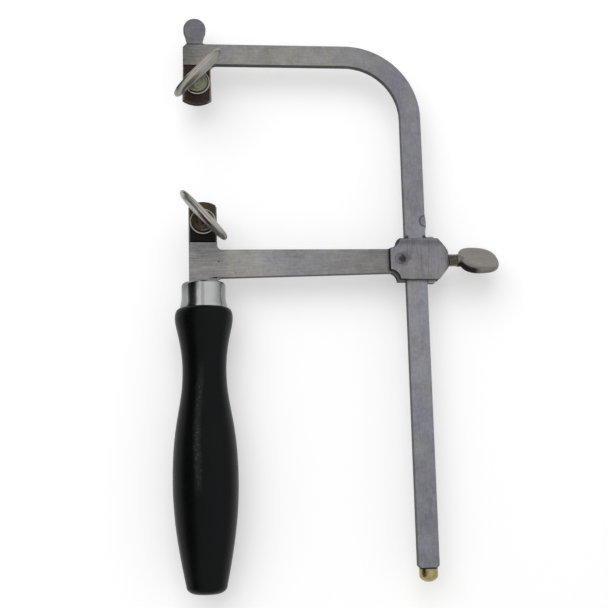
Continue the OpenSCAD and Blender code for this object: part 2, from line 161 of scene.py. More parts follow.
def length(name, description, default, low, high):
    """A length, given here in millimetres."""
    return number(name, description, default * MM, min=low * MM, max=high * MM, unit="LENGTH")


def twist(name, description, degrees):
    return number(name, description, math.radians(degrees), subtype="ANGLE")


def paint(name, description, default):
    return bpy.props.FloatVectorProperty(name=name, description=description, default=default,
                                         min=0, max=1, subtype="COLOR_GAMMA")


class FretSawSizes(bpy.types.PropertyGroup):
    bar_edge: length("Bar edge", "Rounding of the bow's and the arm's edges", 0.22, 0.05, 0.5)
    slider_edge: length("Slider edge", "Rounding of the slider's edges", 0.4, 0.1, 0.8)
    plate_edge: length("Plate edge", "Rounding of the clamp plates' edges", 0.3, 0.1, 0.6)
    thread_pitch: length("Thread pitch", "Distance from one thread to the next", 0.8, 0.5, 1.2)
    thread_depth: length("Thread depth", "Depth of the threads' grooves", 0.42, 0.2, 0.6)
    clamp_wing_w: length("Clamp wing width", "Width of a clamp screw's wing", 25, 18, 27)
    clamp_wing_h: length("Clamp wing height", "Height of a clamp screw's wing", 13.2, 10, 18)
    wing_lift: length("Wing lift", "Height of the neck between a clamp screw's washer and its wing",
                      3.4, 1.6, 5)
    side_wing_w: length("Side wing width", "Width of the side screw's wing", 17.4, 14, 27)
    side_wing_h: length("Side wing height", "Height of the side screw's wing", 15.8, 12, 22)
    wing_corner: number("Wing corner", "How round a wing's corners are: 0.5 is an oval, less is squarer",
                        0.385, min=0.3, max=0.5, subtype="FACTOR")
    upper_turn: twist("Upper wing turn", "Turn of the upper screw's wing", 46)
    lower_turn: twist("Lower wing turn", "Turn of the lower screw's wing", -47)
    side_turn: twist("Side wing turn", "Turn of the side screw's wing", 41)
    mark_r: length("Stake mark radius", "Radius of the half-round mark struck in the spine", 2.25, 1, 3)


class FretSawColours(bpy.types.PropertyGroup):
    arm_steel: paint("Arm steel", "Ground steel of the arms", (0.553, 0.548, 0.535))
    spine_steel: paint("Spine steel", "Bluer steel of the spine", (0.505, 0.51, 0.535))
    # Painted shade: the steel of the bars' side walls is painted darker
    shaded_wall_steel: paint("Shaded side wall steel", "Darker steel of the bars' side walls", (0.215, 0.215, 0.22))
    slider_steel: paint("Slider steel", "Steel of the slider", (0.515, 0.512, 0.53))
    blued_steel: paint("Blued steel", "Brown black finish of the clamp plates", (0.27, 0.222, 0.205))
    nickel: paint("Nickel", "Dull nickel plate of the wing screws and washers", (0.66, 0.64, 0.61))
    # The hubs' colours are tarnish with a painted reflection: bright on the upper hub, dark on the lower
    upper_hub: paint("Upper hub", "Olive tarnish on the upper screw's hub", (0.50, 0.50, 0.43))
    lower_hub: paint("Lower hub", "Brown tarnish on the lower screw's hub", (0.27, 0.225, 0.195))
    ferrule: paint("Ferrule plate", "Bright plate of the ferrule", (0.71, 0.72, 0.715))
    lacquer: paint("Handle lacquer", "Black lacquer of the wooden handle", (0.026, 0.032, 0.034))
    brass: paint("Stop brass", "Turned brass of the end stop", (0.70, 0.64, 0.47))


class FretSawStage(bpy.types.PropertyGroup):
    floor: paint("Floor", "Colour of the floor", (0.90, 0.90, 0.90))
    floor_size: number("Floor size", "Width of the floor", 4.0, min=1, unit="LENGTH")
    ambient: number("Ambient", "Strength of the studio's even light", 0.62, min=0, max=1)
    horizon: number("Horizon", "Strength of the low sky that polished metal sees", 0.55, min=0, max=1)
    lens: number("Lens", "Focal length in millimetres", 67.9, min=20)
    distance: number("Distance", "Distance of the camera from the bar's middle plane", 444.54 * MM,
                     unit="LENGTH")


def sizes():
    return bpy.context.scene.fret_saw_sizes


def linear(colour):
    """A colour as written, ready for a shader's socket."""
    return (*Color(colour).from_srgb_to_scene_linear(), 1.0)


def shade(name):
    return linear(getattr(bpy.context.scene.fret_saw_colours, name))


# Modelling


def clear_selection():
    active = bpy.context.view_layer.objects.active
    if active is not None and active.mode != "OBJECT":
        bpy.ops.object.mode_set(mode="OBJECT")
    bpy.ops.object.select_all(action="DESELECT")


def activate(*pieces):
    clear_selection()
    for piece in pieces:
        piece.select_set(True)
    bpy.context.view_layer.objects.active = pieces[0]


def edit(piece):
    """Opens a piece in edit mode with all of it selected."""
    activate(piece)
    bpy.ops.object.mode_set(mode="EDIT")
    bpy.ops.mesh.select_all(action="SELECT")


def leave():
    bpy.ops.object.mode_set(mode="OBJECT")


def pick(piece, mode, test):
    """Selects, in edit mode, the vertices or edges that pass the test."""
    bpy.ops.mesh.select_mode(type=mode)
    bpy.ops.mesh.select_all(action="DESELECT")
    shape = bmesh.from_edit_mesh(piece.data)
    kinds = {"VERT": shape.verts, "EDGE": shape.edges}
    for part in kinds[mode]:
        if test(part):
            part.select_set(True)
    shape.select_flush_mode()
    bmesh.update_edit_mesh(piece.data)


def apply_modifier(piece, kind, **settings):
    activate(piece)
    modifier = piece.modifiers.new(kind.lower(), kind)
    for key, value in settings.items():
        setattr(modifier, key, value)
    bpy.ops.object.modifier_apply(modifier=modifier.name)


def merge_and_face_out(piece):
    edit(piece)
    bpy.ops.mesh.remove_doubles(threshold=WELD)
    bpy.ops.mesh.normals_make_consistent(inside=False)
    leave()


def smooth(piece, angle):
    activate(piece)
    bpy.ops.object.shade_smooth_by_angle(angle=math.radians(angle))


def set_down(piece):
    """Puts a piece's place into its mesh."""
    activate(piece)
    bpy.ops.object.transform_apply(location=True, rotation=True, scale=True)


def name_piece(piece, name):
    piece.name = name
    piece.data.name = name
    return piece


def coat(piece, *materials):
    piece.data.materials.clear()
    for material in materials:
        piece.data.materials.append(material)


def dress(piece, body, slot, node, *materials):
    """Coats a piece, says which body it rides on and hides the solid that it stands for; its slot is not
    used.
    """
    if materials:
        coat(piece, *materials)
    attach(piece, body)
    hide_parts(node)


def copy_of(piece, name):
    twin = bpy.data.objects.new(name, piece.data.copy())
    twin.data.name = name
    bpy.context.scene.collection.objects.link(twin)
    return twin


def milled_copy(node, name):
    """A copy of a milled solid, with its loose triangles merged into whole faces."""
    piece = copy_of(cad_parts[node], name)
    edit(piece)
    bpy.ops.mesh.remove_doubles(threshold=WELD)
    bpy.ops.mesh.dissolve_limited(angle_limit=math.radians(0.4))
    leave()
    return piece


def round_edges(piece, width, spared=lambda at: False):
    """Rounds the sharp edges, apart from tiny ones and those whose place on the saw is spared."""

    def wanted(e):
        if len(e.link_faces) != 2 or e.calc_length() < SHORTEST_EDGE * MM:
            return False
        at = ((e.verts[0].co + e.verts[1].co) / 2 - ORIGIN) / MM
        return e.calc_face_angle() > SHARP_ANGLE and not spared(at)

    edit(piece)
    pick(piece, "EDGE", wanted)
    bpy.ops.transform.edge_bevelweight(value=1.0)
    leave()
    apply_modifier(piece, "BEVEL", width=width, segments=3, limit_method="WEIGHT",
                   use_clamp_overlap=False, harden_normals=True)


def turned(name, profile, centre, axis, steps):
    """A turned piece: rings of the profile's radius and distance in millimetres, about an axis."""
    profile = [(r * MM, d * MM) for r, d in profile]
    from_pole = profile[0][0] == 0
    if from_pole:
        pole, profile = profile[0], profile[1:]
    (radius, distance), rest = profile[0], profile[1:]
    tilt = HEAD_UP.rotation_difference(axis).to_euler()
    clear_selection()
    bpy.ops.mesh.primitive_circle_add(
        vertices=steps, radius=radius, fill_type="TRIFAN" if from_pole else "NOTHING",
        location=centre + axis * distance, rotation=tilt)
    piece = name_piece(bpy.context.object, name)
    set_down(piece)
    edit(piece)
    if from_pole:
        pick(piece, "VERT", lambda v: len(v.link_edges) > 3)
        bpy.ops.transform.translate(value=axis * (pole[1] - distance))
    bpy.ops.mesh.select_mode(type="EDGE")
    bpy.ops.mesh.select_all(action="SELECT")
    if from_pole:
        bpy.ops.mesh.region_to_loop()
    for next_radius, next_distance in rest:
        bpy.ops.mesh.extrude_region()
        if next_distance != distance:
            bpy.ops.transform.translate(value=axis * (next_distance - distance))
        if next_radius == 0:
            bpy.ops.mesh.merge(type="CENTER")
            break
        if next_radius != radius:
            share = next_radius / radius
            bpy.ops.transform.resize(
                value=(share, share, share), center_override=centre + axis * next_distance)
        radius, distance = next_radius, next_distance
    leave()
    merge_and_face_out(piece)
    return piece


def curve(a, b, c, d, steps):
    """Points of a smooth curve from a to d, drawn towards b and c, without a itself."""
    shares = [i / steps for i in range(1, steps + 1)]
    return [tuple(w * (1 - t) ** 3 + 3 * x * (1 - t) ** 2 * t + 3 * y * (1 - t) * t ** 2 + z * t ** 3
                  for w, x, y, z in zip(a, b, c, d)) for t in shares]


def easing(a, d, leaving, reaching, steps):
    """A curve that leaves a and reaches d along the axis."""
    run = d[1] - a[1]
    return curve(a, (a[0], a[1] + leaving * run), (d[0], d[1] - reaching * run), d, steps)


def arc(centre_r, centre_d, radius, start, end, steps):
    """Points round a corner of a turned profile, from one angle to another."""
    angles = [math.radians(start + (end - start) * i / steps) for i in range(steps + 1)]
    return [(centre_r + radius * math.cos(a), centre_d + radius * math.sin(a)) for a in angles]


def held(value):
    """A share kept from 0 to 1."""
    return min(1, max(0, value))


def threaded_shank(name, tall):
    """A threaded shank that hangs below its head at the origin."""
    s = sizes()
    outer = SHANK_R * MM
    span = tall * MM
    clear_selection()
    bpy.ops.mesh.primitive_cylinder_add(
        vertices=48, radius=outer, depth=span, end_fill_type="TRIFAN", location=(0, 0, -span / 2))
    piece = name_piece(bpy.context.object, name)
    set_down(piece)
    edit(piece)
    pick(piece, "EDGE", lambda e: abs(e.verts[0].co.z - e.verts[1].co.z) > span / 2)
    bpy.ops.mesh.subdivide(number_cuts=round(span / (s.thread_pitch / THREAD_RINGS)) - 1)
    leave()
    # The groove follows the turn and the height, and runs out at both ends
    for vertex in piece.data.vertices:
        x, y, z = vertex.co
        radius = math.hypot(x, y)
        if radius < outer / 2:
            continue
        phase = (z / s.thread_pitch - math.atan2(y, x) / math.tau) % 1
        groove = held((abs(2 * phase - 1) - THREAD_CREST_SHARE) / THREAD_FLANK_SHARE)
        run_out = held(-z / (THREAD_RUN_OUT * MM))
        tip = min(0, z + span - TIP_CHAMFER * MM)
        share = min(outer - s.thread_depth * groove * run_out, outer + tip) / radius
        vertex.co.x *= share
        vertex.co.y *= share
    smooth(piece, 50)
    return piece


# From a wing's edge to the middle of its face: inwards in millimetres, and out or in again as a
# share of half its thickness
CLAMP_RIM = ((0.06, 0.36), (0.14, 0.20), (0.28, 0.16), (0.45, 0.12), (0.7, 0.09), (0.8, 0.07),
             (0.5, -0.05), (0.5, -0.10), (0.5, -0.10), (0.7, -0.06))
SIDE_RIM = ((0.05, 0.56), (0.10, 0.18), (0.22, 0.12), (0.45, 0.08), (0.8, 0.05), (0.9, 0.01),
            (0.9, -0.03), (1.2, -0.05))


def wing(name, width, height, lift, thickness, rim, root):
    """A wing over the origin: a rounded rim about two hollow faces, on a turned root.

    thickness gives its thickness in millimetres at the foot, half way up and at the crest."""
    foot_t, middle_t, crest_t = thickness
    half = foot_t * MM / 2
    across, upright = width / 2, height / 2
    clear_selection()
    bpy.ops.mesh.primitive_circle_add(
        vertices=96, radius=1, fill_type="NGON", location=CENTRE, rotation=(math.radians(90), 0, 0))
    piece = name_piece(bpy.context.object, name)
    set_down(piece)
    # The oval's corners are drawn out
    for vertex in piece.data.vertices:
        for axis in (0, 2):
            value = vertex.co[axis]
            vertex.co[axis] = math.copysign(abs(value) ** (2 * sizes().wing_corner), value)
    edit(piece)
    bpy.ops.transform.resize(value=(across, 1, upright), center_override=CENTRE)
    bpy.ops.mesh.inset(thickness=rim[0][0] * MM, depth=rim[0][1] * half, use_even_offset=True)
    across, upright = across - rim[0][0] * MM, upright - rim[0][0] * MM
    for inwards, out in rim[1:]:
        inwards = inwards * MM
        bpy.ops.mesh.extrude_region()
        bpy.ops.transform.resize(
            value=((across - inwards) / across, 1, (upright - inwards) / upright),
            center_override=CENTRE)
        bpy.ops.transform.translate(value=(0, -out * half, 0))
        across, upright = across - inwards, upright - inwards
    leave()
    apply_modifier(piece, "MIRROR", use_axis=(False, True, False), merge_threshold=0.02 * MM)
    # It thins from its foot to its crest
    for vertex in piece.data.vertices:
        level = vertex.co.z / height + 0.5
        if level < 0.5:
            here = foot_t + (middle_t - foot_t) * level * 2
        else:
            here = middle_t + (crest_t - middle_t) * (level * 2 - 1)
        vertex.co.y *= here / foot_t
        vertex.co.z += lift + height / 2
    foot = turned(name + "_root", root, CENTRE, HEAD_UP, 64)
    merge_and_face_out(piece)
    activate(piece, foot)
    bpy.ops.object.join()
    apply_modifier(piece, "REMESH", mode="VOXEL", voxel_size=0.16 * MM, use_smooth_shade=True)
    apply_modifier(piece, "SMOOTH", factor=0.5, iterations=6)
    return piece


def finish_screw(name, head, tall, *more):
    """Joins a screw's head, its threaded shank and what else it has into one piece."""
    shank = threaded_shank(name + "_shank", tall)
    for piece in (shank, *more):
        coat(piece, thread_steel())
    activate(head, shank, *more)
    bpy.ops.object.join()
    return name_piece(head, name)


def clamp_screw(name):
    """A clamp screw on the origin: its hub bears on the washer, and a neck carries the wing."""
    s = sizes()
    top = (s.wing_lift + 0.3 * s.clamp_wing_h) / MM
    neck = [(3 - 2.2 * math.sin(a), 1 + (top - 1) * (1 - math.cos(a)))
            for a in (math.radians(90 * i / 10) for i in range(11))]
    root = [(0, -0.28), (3.85, -0.28), (4.0, -0.2), (4.18, 0.0), (4.15, 0.4), (4.02, 0.75), (3.8, 0.93),
            (3.5, 1.0), *neck, (0, top)]
    head = wing(name, s.clamp_wing_w, s.clamp_wing_h, s.wing_lift, (2.3, 2.3, 1.8), CLAMP_RIM, root)
    coat(head, screw_nickel(), upper_hub_nickel())
    for face in head.data.polygons:
        x, y, z = face.center / MM
        if z < HUB_TOP and math.hypot(x, y) < HUB_R:
            face.material_index = 1
    return finish_screw(name, head, WASHER_TOP + BAR_FRONT + 1)


def side_screw(name):
    """The side screw on the origin: a collar, a wing and a shank that ends in a dog point."""
    s = sizes()
    high, tall = s.side_wing_h / MM, 9.9
    root = [(0, -0.95), (2.35, -0.95), (2.55, -0.75), (2.55, -0.25), (2.4, -0.1), (2.55, 0.1),
            (2.6, 0.5), (2.2, 1.2), (1.75, 0.13 * high), (1.3, 0.2 * high), (0, 0.3 * high)]
    head = wing(name, s.side_wing_w, s.side_wing_h, 0.0, (3.4, 2.7, 1.8), SIDE_RIM, root)
    coat(head, side_nickel())
    point = turned(name + "_dog", [(0, 0.4 - tall), (1.5, 0.4 - tall), (1.5, -tall - 0.65),
                                   (1.35, -tall - 0.8), (0, -tall - 0.8)], CENTRE, HEAD_UP, 32)
    return finish_screw(name, head, tall, point)


# Materials


class Value:
    """A number or colour that changes over a surface. Sums and shares of it add nodes to its tree."""

    def __init__(self, tree, socket):
        self.tree = tree
        self.socket = socket

    def __add__(self, other):
        return self.tree.maths("ADD", self, other)

    def __sub__(self, other):
        return self.tree.maths("SUBTRACT", self, other)

    def __rsub__(self, other):
        return self.tree.maths("SUBTRACT", other, self)

    def __mul__(self, other):
        return self.tree.maths("MULTIPLY", self, other)

    def __truediv__(self, other):
        return self.tree.maths("DIVIDE", self, other)

    def __rtruediv__(self, other):
        return self.tree.maths("DIVIDE", other, self)

    def __abs__(self):
        return self.tree.maths("ABSOLUTE", self, 0.0)

    def most(self, other):
        return self.tree.maths("MAXIMUM", self, other)

    def span(self, low, high, to_low, to_high, kind="SMOOTHSTEP"):
        """Goes from one number to another while the value goes from low to high."""
        return self.tree.value("MapRange", "Result", {
            "Value": self, "From Min": low, "From Max": high, "To Min": to_low, "To Max": to_high},
            interpolation_type=kind)

    def rise(self, low, high, top=1.0):
        """Nothing where the value is low, and the top where it is high."""
        return self.span(low, high, 0.0, top)

    def fall(self, low, high, top=1.0):
        """The top where the value is low, and nothing where it is high."""
        return self.span(low, high, top, 0.0)

    def spread(self, to_low, to_high):
        """A share from 0 to 1, spread evenly from one number to another."""
        return self.span(0, 1, to_low, to_high, "LINEAR")

    def chart(self, *stops):
        """A number that follows the value from stop to stop."""
        low, high = stops[0][0], stops[-1][0]
        made = self.tree.add("ValToRGB", {0: self.span(low, high, 0.0, 1.0, "LINEAR")})
        elements = made.color_ramp.elements
        elements[0].position, elements[1].position = 0, 1
        for stop, _ in stops[1:-1]:
            elements.new((stop - low) / (high - low))
        for element, (_, light) in zip(elements, stops):
            element.color = (light, light, light, 1)
        return self.tree.value("SeparateColor", 0, {0: Value(self.tree, made.outputs[0])})


class Tree:
    """A node tree with short calls to add and link its nodes."""

    def __init__(self, tree):
        self.tree = tree

    def connect(self, value, socket):
        """Links a value to a socket, or writes a constant on the socket itself."""
        if isinstance(value, Value):
            self.tree.links.new(value.socket, socket)
        else:
            socket.default_value = value

    def add(self, kind, inputs=None, **settings):
        made = self.tree.nodes.new("ShaderNode" + kind)
        for key, value in settings.items():
            setattr(made, key, value)
        for key, value in (inputs or {}).items():
            self.connect(value, made.inputs[key])
        return made

    def values(self, kind, inputs=None, **settings):
        """A new node's outputs, in their order."""
        return [Value(self, socket) for socket in self.add(kind, inputs, **settings).outputs]

    def value(self, kind, output, inputs=None, **settings):
        """One output of a new node."""
        return Value(self, self.add(kind, inputs, **settings).outputs[output])

    def maths(self, operation, a, b, clamp=False):
        return self.value("Math", 0, {0: a, 1: b}, operation=operation, use_clamp=clamp)

    def between(self, share, a, b):
        """The number at a share of the way from one to another."""
        return self.value("Mix", 0, {0: share, 2: a, 3: b})

    def mix(self, share, a, b, blend="MIX"):
        return self.value("Mix", 2, {0: share, 6: a, 7: b}, data_type="RGBA", blend_type=blend)

    def scale(self, colour, light):
        """A colour made lighter or darker."""
        grey = self.value("CombineColor", 0, {0: light, 1: light, 2: light})
        return self.mix(1.0, colour, grey, "MULTIPLY")

    def bump(self, height, strength, depth=0.02):
        return self.value("Bump", 0, {"Height": height, "Strength": strength, "Distance": depth * MM})

    def stretch(self, vector, by):
        return self.value("VectorMath", 0, {0: vector, "Scale": by}, operation="SCALE")

    def millimetres(self):
        """Object coordinates in millimetres."""
        return self.stretch(self.value("TexCoord", "Object"), 1 / MM)

    def saw_place(self):
        """The place on the saw in its own millimetres: x, y and z."""
        moved = self.value("VectorMath", 0, {0: self.millimetres(), 1: tuple(ORIGIN / MM)},
                           operation="SUBTRACT")
        return self.values("SeparateXYZ", {0: moved})

    def away(self, x, y, z=None):
        """Distance in millimetres from a place on the saw, as seen from the front if it has no z."""
        here = self.saw_place()
        spot = self.value("CombineXYZ", 0, {0: here[0], 1: here[1], 2: 0.0 if z is None else here[2]})
        return self.value("VectorMath", "Value", {0: spot, 1: (x, y, z or 0.0)}, operation="DISTANCE")

    def wing_place(self, centre, turned_by):
        """The place along a clamp screw's wing and across it, in millimetres from the screw's axis."""
        x, y, _ = self.saw_place()
        right, up = x - centre[0], y - centre[1]
        cosine, sine = math.cos(turned_by), math.sin(turned_by)
        return right * cosine + up * sine, up * cosine - right * sine


def effect(name, outputs, **inputs):
    """Makes an effect group of the function below it, which gives the values that it puts out.

    The effect is then placed by a call with a tree and its inputs, in their order."""

    def filled(build):
        group = bpy.data.node_groups.new(name, "ShaderNodeTree")
        for key, default in inputs.items():
            socket = group.interface.new_socket(key, in_out="INPUT", socket_type="NodeSocketFloat")
            socket.default_value = default
        for key in outputs:
            group.interface.new_socket(key, in_out="OUTPUT", socket_type="NodeSocketFloat")
        tree = Tree(group)
        start, end = group.nodes.new("NodeGroupInput"), group.nodes.new("NodeGroupOutput")
        given = [Value(tree, start.outputs[key]) for key in inputs]
        for key, value in zip(outputs, build(tree, *given)):
            tree.connect(value, end.inputs[key])
        return group

    def placing(build):
        def placed(tree, *values):
            group = bpy.data.node_groups.get(name) or filled(build)
            made = tree.values("Group", dict(zip(inputs, values)), node_tree=group)
            return made if len(outputs) > 1 else made[0]

        return placed

    return placing


@effect("Saw faces and walls", ("Face", "Wall", "Edge"))
def walls(tree):
    """Masks for the front and back faces, the side walls and the rounded edges between them."""
    level = abs(tree.values("SeparateXYZ", {0: tree.value("TexCoord", "Normal")})[2])
    face = level.rise(0.93, 0.995)
    wall = level.fall(0.05, 0.35)
    return face, wall, tree.maths("SUBTRACT", 1.0 - face, wall, clamp=True)


@effect("Saw brushed grain", ["Grain"], Along=0.12, Across=6.0, Turn=0.0)
def brush_marks(tree, along, across, turned_by):
    """Brush marks: streaks along one direction of the metal."""
    rotation = tree.value("CombineXYZ", 0, {"Z": turned_by})
    stretch = tree.value("CombineXYZ", 0, {"X": along, "Y": across, "Z": across})
    near = tree.value("Mapping", 0, {"Vector": tree.millimetres(), "Rotation": rotation})
    near = tree.value("VectorMath", 0, {0: near, 1: stretch}, operation="MULTIPLY")
    streaks = tree.value("TexNoise", "Fac", {"Vector": near, "Scale": 1.0, "Detail": 4.0, "Roughness": 0.65})
    return [streaks.span(0.28, 0.72, 0.0, 1.0, "LINEAR")]


@effect("Saw mottle", ("Large", "Small"), Size=6.0, Seed=0.0)
def clouds(tree, size, seed):
    """Soft clouds of handled and tarnished metal, large and small."""
    near = tree.stretch(tree.millimetres(), 1.0 / size)
    return [tree.value("TexNoise", "Fac", {"Vector": near, "W": seed, "Scale": scale, "Detail": detail,
                                           "Roughness": 0.6},
                       noise_dimensions="4D").span(0.3, 0.7, 0.0, 1.0, "LINEAR")
            for scale, detail in ((1.0, 3.0), (5.0, 4.0))]


@effect("Saw pits", ["Pits"], Spacing=3.0, Radius=0.25, Share=0.5)
def pits(tree, spacing, radius, share):
    """Small scattered pits and nicks."""
    near = tree.stretch(tree.millimetres(), 1.0 / spacing)
    wobble = tree.value("TexNoise", "Fac", {"Vector": near, "Scale": 9.0, "Detail": 2.0})
    cells = tree.add("TexVoronoi", {"Vector": near, "Scale": 1.0, "Randomness": 1.0})
    reach = radius / spacing * (wobble * 2.0)
    pit = (reach - Value(tree, cells.outputs["Distance"])).rise(0.0, 0.05)
    chance = tree.value("SeparateColor", 0, {0: Value(tree, cells.outputs["Color"])})
    return [pit * tree.maths("LESS_THAN", chance, share)]


UPRIGHT = math.radians(90)


def coating(name):
    """Makes a material of the function below it, which gives the sockets of its shader."""

    def made_by(build):
        def coat_material():
            made = bpy.data.materials.get(name)
            if made is None:
                made = bpy.data.materials.new(name)
                made.use_nodes = True
                tree = Tree(made.node_tree)
                shader = made.node_tree.nodes["Principled BSDF"]
                for key, value in build(tree).items():
                    tree.connect(value, shader.inputs[key])
            return made

        return coat_material

    return made_by


BLACK = (0.012, 0.011, 0.012, 1)
PIT_BLACK = (0.02, 0.02, 0.022, 1)

# Painted black shade, on walls and on the screws, has next to no shine of its own
PAINTED_SHADE_SHINE = 0.05


def steel(name, seed, roughness=0.40, edge_highlight=1.25):
    """Ground steel: bright faces with brush marks and tarnish, walls darkened as painted shade and rounded
    edges lightened as a painted highlight.

    The function below it gives the face's colour, the share of brush marks that run up the saw,
    their contrast and the share of painted black shade on the walls."""

    def made_by(look_at):
        @coating(name)
        def ground(tree):
            colour, upright, contrast, wall_shade = look_at(tree)
            face, wall, edge = walls(tree)
            grain = tree.between(upright, brush_marks(tree, 0.14, 2.9),
                                 brush_marks(tree, 0.14, 2.9, UPRIGHT))
            large, small = clouds(tree, 7.0, seed)
            tints = clouds(tree, 16.0, seed + 20)[0]
            pit = pits(tree, 3.4, 0.22, 0.35)
            patchy = large.spread(-0.14, 0.14) + small.spread(-0.15, 0.15)
            tone = grain.spread(-0.14, 0.14) * contrast + patchy + 1.0
            tint = tree.mix(tints.rise(0.15, 0.85), (1.025, 1.0, 0.965, 1), (0.985, 0.99, 1.025, 1))
            metal = tree.mix(1.0, tree.scale(colour, tone), tint, "MULTIPLY")
            # Painted shade: the walls take the darker shaded wall steel
            metal = tree.mix(wall, metal, tree.scale(shade("shaded_wall_steel"), tone))
            # Painted highlight: the rounded edges are painted lighter
            metal = tree.mix(edge, metal, tree.scale(metal, edge_highlight))
            # Painted shade: the walls that the look marks are painted black
            painted_black_walls = (1.0 - face) * wall_shade
            metal = tree.mix(painted_black_walls, metal, BLACK)
            return {"Base Color": tree.mix(pit * 0.55, metal, PIT_BLACK),
                    "Metallic": 1.0 - painted_black_walls,
                    "Roughness": small.spread(roughness - 0.05, roughness + 0.07) + wall * 0.08,
                    "Normal": tree.bump(grain * 0.5 - pit, 0.4),
                    "Specular IOR Level": PAINTED_SHADE_SHINE}

        return ground

    return made_by


@steel("Bow steel", 1.0)
def bow_steel(tree):
    x, y, _ = tree.saw_place()
    # The way along the bar, from the finger knob over the corner to the spine's end
    way = x - y + 75.0
    over_jaw = y - KNOB_FOOT_Y
    # The steel is painted bluer from the top arm round into the spine, and on the finger knob
    blue = tree.maths("ADD", way.rise(35.0, 85.0), clouds(tree, 11.0, 3.0)[0].spread(-0.25, 0.25),
                      clamp=True)
    blue = blue.most(way.fall(-14.0, -10.0))
    light = way.chart((-20, 0.76), (-12, 0.72), (-6, 0.86), (8, 1.0), (25, 1.02), (50, 1.05), (76, 0.95),
                      (107, 1.03), (140, 0.97), (152, 1.16), (184, 1.18), (255, 0.91))
    base = tree.scale(tree.mix(blue, shade("arm_steel"), shade("spine_steel")), light)
    # The upper jaw's end is painted darker
    ragged = x + brush_marks(tree, 0.2, 1.6).spread(-4.0, 4.0)
    dull = ragged.fall(-4.5, 0.0, 0.27) * over_jaw.fall(-0.15, 0.25)
    base = tree.mix(dull, base, BLACK)
    # Painted shade: the half-round mark, the crease under the finger knob and its rim are painted darker
    offset = tree.away(*STAKE)
    radius = sizes().mark_r / MM
    ring = offset.rise(radius - 0.75, radius - 0.2) * offset.fall(radius + 0.1, radius + 0.5)
    inside = offset.fall(radius - 0.2, radius + 0.2, 0.14)
    crease = abs(over_jaw).fall(0.1, 0.55, 0.5) * x.fall(1.6, 2.2)
    knob_rim = tree.away(*KNOB).rise(3.7, 4.3, 0.12) * over_jaw.rise(0.15, 1.15)
    dark = (ring * 0.62).most(inside).most(crease.most(knob_rim))
    # Painted shadow where the spine enters the slider
    for corner in SLIDER_CORNERS:
        dark = dark.most(tree.away(*corner).fall(0.3, 1.3, 0.85))
    # The upper jaw's end is scratched, but not the knob over it
    scratched = x.chart((-6, 4.0), (-3, 3.4), (1, 1.6), (12, 1.2), (90, 1.15))
    scratched = tree.between(over_jaw.rise(-0.15, 0.85), scratched, 1.3)
    # Painted shade: the jaw's end is painted black but for its outer side, and so is the spine's end
    wall_shade = y.fall(69.0, 73.0) * x.fall(2.3, 2.7)
    wall_shade = wall_shade.most(y.fall(SPINE_END_Y + 0.8, SPINE_END_Y + 1.2))
    return tree.mix(dark, base, BLACK), way.rise(60.0, 95.0), scratched, wall_shade


@steel("Arm steel", 5.0)
def arm_steel(tree):
    x, y, _ = tree.saw_place()
    # Brightness along the arm; its fall towards the slider is painted shade from the slider's edge
    light = x.chart((0, 0.97), (6, 0.95), (12, 1.15), (24, 1.17), (33, 1.04), (46, 1.02), (60, 0.87),
                    (70, 0.74))
    blue = x.chart((20, 0.0), (34, 0.6), (44, 0.6), (52, 0.2), (70, 0.1)).most(x.fall(7.0, 10.0, 0.4))
    base = tree.scale(tree.mix(blue, shade("arm_steel"), shade("spine_steel")), light)
    contrast = x.chart((-9, 3.0), (4, 2.6), (14, 1.1), (50, 1.1), (70, 1.9))
    nick = tree.away(5.9, -4.8, 1.9).fall(0.15, 0.5, 0.8)
    # Painted shade: the walls above the arm's top edge, round the jaw, are painted black
    return tree.mix(nick, base, BLACK), 0.0, contrast, y.rise(1.0, 3.0)


def slider_look(tree):
    """The slider's face: grimy along its top and smudged round the peened rivet."""
    x, y, _ = tree.saw_place()
    ragged = y + clouds(tree, 5.0, 17.0)[1].spread(-0.7, 0.7)
    band = ragged.chart((0.2, 0.0), (1.6, 0.32), (2.8, 0.38), (3.6, 0.12))
    large, small = clouds(tree, 2.2, 2.0)
    far = tree.away(RIVET_X + 1.1, YOKE_Y) + large.spread(-0.7, 0.7) + small.spread(-0.6, 0.6)
    smudge = far.fall(0.8, 2.5, 0.85).most(far.fall(1.9, 3.6, 0.42))
    colour = tree.mix(band.most(smudge), shade("slider_steel"), BLACK)
    # Painted shade: the slider's walls are painted black, most at its left
    return colour, 1.0, 1.9, x.span(77.5, 81.0, 1.0, 0.3)


slider_steel = steel("Slider steel", 9.0, 0.45, 1.35)(slider_look)
rivet_steel = steel("Rivet steel", 9.0, 0.5, 1.0)(slider_look)


@steel("Shoe steel", 12.0)
def shoe_steel(tree):
    return shade("arm_steel"), 1.0, 1.0, 0.0


